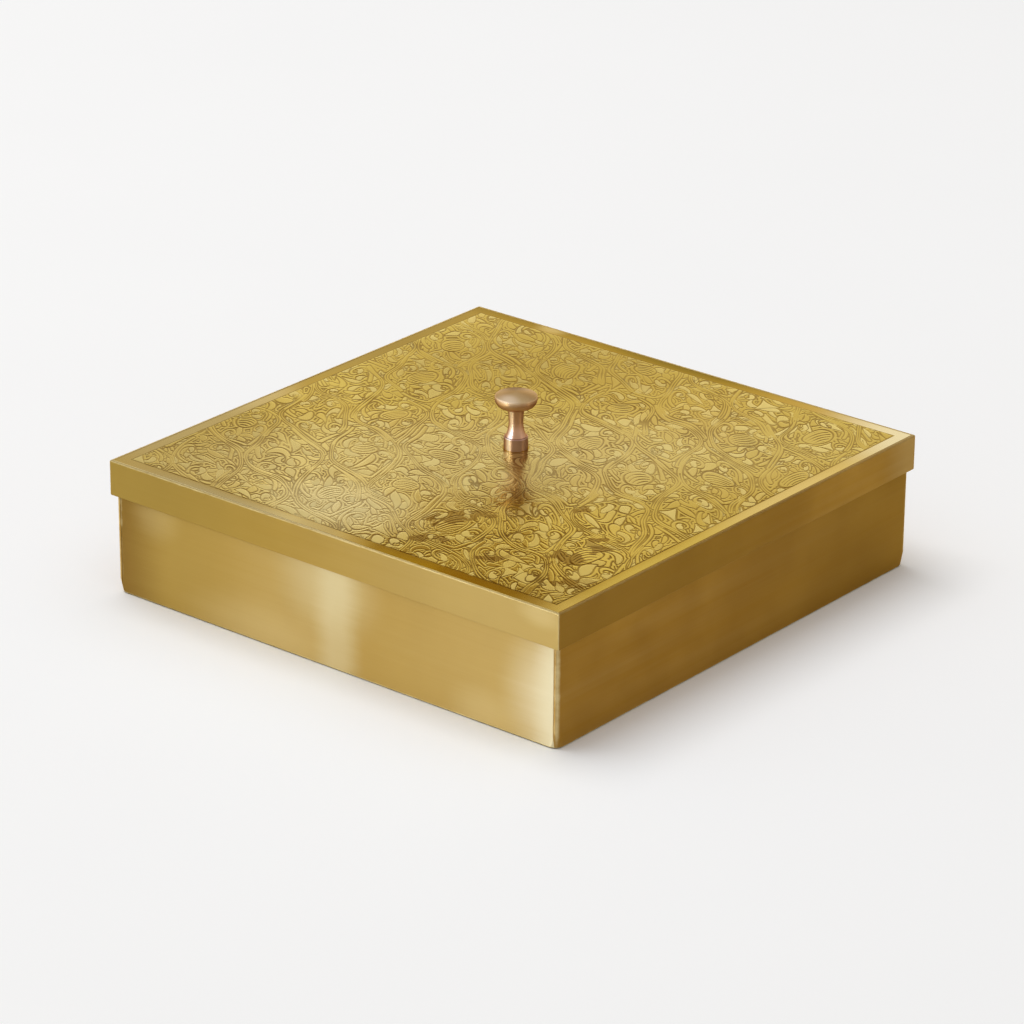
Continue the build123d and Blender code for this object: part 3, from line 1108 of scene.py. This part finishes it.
class SWEETBOX_OT_base(bpy.types.Operator):
    """Finish the base: its floor, its walls and the brazing inside"""

    bl_idname = "sweetbox.base"
    bl_label = "Base"

    def execute(self, context):
        metals = context.scene.sweetbox_metals
        pale = metals.brass_pale
        dark = times_colour(metals.brass, 0.7)
        olive, cream, straw = (0.505, 0.338, 0.076), (0.88, 0.80, 0.50), (0.93, 0.87, 0.62)
        # Painted light and shade on the front wall: an olive tone over all of it, painted shade
        # towards the left end, and pale, cream and straw patches that are painted reflections and
        # highlights, strongest in the middle and at the right corner
        front = (
            (olive, (0, 0), (0, 0), 0.7),
            (times_colour(olive, 0.88), (-80, 0), (60, 0), 0.6),
            ((0.27, 0.15, 0.028), (-98, 0), (30, 0), 0.9),
            (pale, (-76, 0, 32), (14, 0, 12), 0.14),
            (pale, (-30, 0, 3), (42, 0, 16), 0.2),
            (pale, (40, 0), (150, 0), 0.08),
            (pale, (-16, 0), (36, 0), 0.10),
            (cream, (-1, 0, 30), (27, 0, 24), 0.32),
            (cream, (3, 0), (12, 0), 0.36),
            (pale, (64, 0, 4), (18, 0, 12), 0.2),
            (pale, (94, 0), (90, 0), 0.12),
            (straw, (92, 0, 16), (24, 0, 32), 0.5),
            (straw, (94, 0), (12, 0), 0.5),
        )
        # Painted shade on the right wall, darker towards the back
        right = ((dark, (0, 110), (0, 160), 0.7),)
        back = ((dark, (-60, 0), (60, 0), 0.5), (pale, (50, 0), (50, 0), 0.15))
        left = ((dark, (0, 60), (0, 60), 0.5), (pale, (0, -40), (0, 50), 0.15))
        # Each side's tone paints light and shade, the front lighter and the right darker; the
        # front's wider corner widens its painted corner highlight, and every wall gets a painted
        # contact shadow
        for side, corner, tone, spots in (
            ("front", 2.4 * MM, (0.92, 0.92, 0.94), front),
            ("right", 1.7 * MM, (0.81, 0.775, 0.74), right),
            ("back", 1.7 * MM, DULL, back),
            ("left", 1.7 * MM, DULL, left),
        ):
            sheet = brushed_brass(
                f"{side} wall brass", metals, BASE_HALF, WALL_LOW.z, WALL_HIGH.z, corner, tone,
                spots, edge_wear_and_highlight=1.0, contact_shadow=0.85,
            )
            dress(f"base_wall_{side}", sheet)
        floor = brushed_brass(
            "base floor brass", metals, BASE_HALF, WALL_LOW.z, WALL_HIGH.z, 0.4 * MM, flat=True
        )
        dress("base_floor", floor)
        dress("base_braze", dull_braze("base braze", metals))
        return {"FINISHED"}


class SWEETBOX_OT_lid(bpy.types.Operator):
    """Finish the lid's sheets: its panel, its skirt and the brazing inside"""

    bl_idname = "sweetbox.lid"
    bl_label = "Lid sheets"

    def execute(self, context):
        metals = context.scene.sweetbox_metals
        pale = metals.brass_pale
        dark = times_colour(metals.brass, 0.71)
        olive = (0.465, 0.312, 0.067)
        # Painted light and shade on the skirt's front: an olive tone over all of it, painted shade
        # towards the left, and painted highlights towards the right end and high up near the right
        # corner
        front = (
            (olive, (0, 0), (0, 0), 0.8),
            (times_colour(olive, 0.85), (-95, 0), (90, 0), 0.8),
            (pale, (95, 0), (130, 0), 0.2),
            (pale, (88, 0, 45), (12, 0, 6), 0.25),
        )
        # Painted shade on the right skirt towards its front end, and a painted highlight at its
        # back end
        right = ((dark, (0, -60), (0, 130), 0.8), (pale, (0, 95), (0, 20), 0.2))
        back = ((dark, (60, 0), (60, 0), 0.5),)
        left = ((dark, (0, -60), (0, 60), 0.5),)
        # Each side's tone paints light and shade, the front lighter and the right darker; the right
        # skirt gets less painted edge highlight
        for side, edge_wear_and_highlight, tone, spots in (
            ("front", 0.7, (0.93, 0.93, 0.94), front),
            ("right", 0.25, (0.81, 0.78, 0.74), right),
            ("back", 0.7, DULL, back),
            ("left", 0.7, DULL, left),
        ):
            sheet = brushed_brass(
                f"{side} skirt brass", metals, LID_HALF, SKIRT_LOW.z, SKIRT_HIGH.z, 0.6 * MM, tone,
                spots, edge_wear_and_highlight,
            )
            dress(f"lid_skirt_{side}", sheet)
        # Painted reflections on the polished border, each colour, centre, reach and strength: dark
        # spots paint dark reflections along the left, the back and the front right; pale and grey
        # ones paint sheen along the front left and the right side, and a cream highlight at the
        # right corner
        border = (
            ((0.31, 0.22, 0.075), (-95, 45), (14, 112), 0.95),
            ((0.50, 0.415, 0.215), (-95, -62), (64, 64), 0.95),
            ((0.85, 0.76, 0.48), (-95, -22), (12, 24), 0.35),
            ((0.50, 0.45, 0.28), (-50, -95), (48, 9), 0.8),
            ((0.70, 0.69, 0.48), (-12, -95), (36, 14), 0.4),
            ((0.62, 0.40, 0.012), (50, -95), (44, 9), 0.9),
            ((0.24, 0.15, 0.03), (-75, 95), (62, 9), 0.85),
            (pale, (-60, 95), (9, 9), 0.5),
            ((0.14, 0.085, 0.006), (-4, 95), (58, 9), 0.85),
            ((0.68, 0.535, 0.13), (95, -20), (9, 190), 1.0),
            (pale, (95, 26), (16, 56), 0.55),
            (pale, (95, 95), (80, 80), 0.3),
            ((0.92, 0.89, 0.68), (95, 95), (42, 42), 0.95),
            ((0.80, 0.64, 0.2), (95, -95), (22, 22), 0.8),
        )
        dress("lid_panel", polished_brass("polished brass", metals, border))
        dress("lid_braze", dull_braze("lid braze", metals))
        return {"FINISHED"}


class SWEETBOX_OT_etching(bpy.types.Operator):
    """Make the etched scrollwork of the lid"""

    bl_idname = "sweetbox.etching"
    bl_label = "Etched scrollwork"

    def execute(self, context):
        chosen = context.scene.sweetbox_etching
        width = 2 * (LID_HALF - chosen.border)
        draws = np.random.default_rng(chosen.seed)
        etching = Etching(
            width / MM, chosen.cells, chosen.groove / MM, chosen.stretch, chosen.sway / MM, draws
        )
        draw_scrollwork(etching, chosen.columns, chosen.rows, draws)
        gap = 0.3 * MM  # round the collar's foot
        seat = (COLLAR_RADIUS + gap) / MM
        relief = relief_of(etching, seat, chosen.hatch / MM, draws)
        top = LID_TOP - chosen.depth * (1 - relief)
        material = etched_brass("etched brass", context.scene.sweetbox_metals)
        line = etching.line * MM
        slope_y, slope_x = np.gradient(top, line, line)
        normals = np.stack([-slope_x, -slope_y, np.ones(top.shape)], -1)
        normals /= np.linalg.norm(normals, axis=-1, keepdims=True)
        step = chosen.cells // chosen.plates
        parts = [slice(first * step, (first + 1) * step + 1) for first in range(chosen.plates)]
        for row, along_y in enumerate(parts):
            for column, along_x in enumerate(parts):
                part = (along_y, along_x)
                plate = closed_plate(
                    f"etched_plate_{row}_{column}", line[along_x], line[along_y], top[part],
                    LID_TOP - chosen.pocket,
                )
                shade_as(plate, normals[part])
                vertex_values(plate, "etched", 1 - relief[part])
                vertex_values(plate, "tone", etching.tone[part])
                plate.data.materials.append(material)
                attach(plate, "lid")
        return {"FINISHED"}


class SWEETBOX_OT_knob(bpy.types.Operator):
    """Finish the knob, its collar, its washer and its screw"""

    bl_idname = "sweetbox.knob"
    bl_label = "Knob"

    def execute(self, context):
        metals = context.scene.sweetbox_metals
        collar = metals.collar
        copper = turned_copper("turned copper", metals.copper, metals.worn, metals.patina, KNOB_TOP)
        dress("knob", copper)
        dress("knob_collar", turned_copper("collar copper", collar, collar, collar, KNOB_TOP))
        dress("knob_washer", polished_brass("washer brass", metals))
        dress("knob_screw", plain_steel("screw steel"))
        return {"FINISHED"}


class SWEETBOX_PT_panel(bpy.types.Panel):
    """Lists the settings and the operators of the sweet box"""

    bl_idname = "SWEETBOX_PT_panel"
    bl_label = "Sweet Box"
    bl_space_type = "VIEW_3D"
    bl_region_type = "UI"
    bl_category = "Sweet Box"

    def draw(self, context):
        for settings, operators in (
            (context.scene.sweetbox_stage, ("sweetbox.stage",)),
            (context.scene.sweetbox_metals, ("sweetbox.base", "sweetbox.lid", "sweetbox.knob")),
            (context.scene.sweetbox_etching, ("sweetbox.etching",)),
        ):
            column = self.layout.box().column(align=True)
            for name in settings.__annotations__:
                column.prop(settings, name)
            for operator in operators:
                column.operator(operator)


CLASSES = (
    EtchingSettings, MetalSettings, StageSettings, SWEETBOX_OT_stage, SWEETBOX_OT_base,
    SWEETBOX_OT_lid, SWEETBOX_OT_etching, SWEETBOX_OT_knob, SWEETBOX_PT_panel,
)


def register():
    for item in CLASSES:
        bpy.utils.register_class(item)
    bpy.types.Scene.sweetbox_etching = PointerProperty(type=EtchingSettings)
    bpy.types.Scene.sweetbox_metals = PointerProperty(type=MetalSettings)
    bpy.types.Scene.sweetbox_stage = PointerProperty(type=StageSettings)


def unregister():
    del bpy.types.Scene.sweetbox_stage
    del bpy.types.Scene.sweetbox_metals
    del bpy.types.Scene.sweetbox_etching
    for item in reversed(CLASSES):
        bpy.utils.unregister_class(item)


def main():
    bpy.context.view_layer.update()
    register()
    bpy.ops.sweetbox.stage()
    bpy.ops.sweetbox.base()
    bpy.ops.sweetbox.lid()
    bpy.ops.sweetbox.etching()
    bpy.ops.sweetbox.knob()


if __name__ == "__main__":
    main()
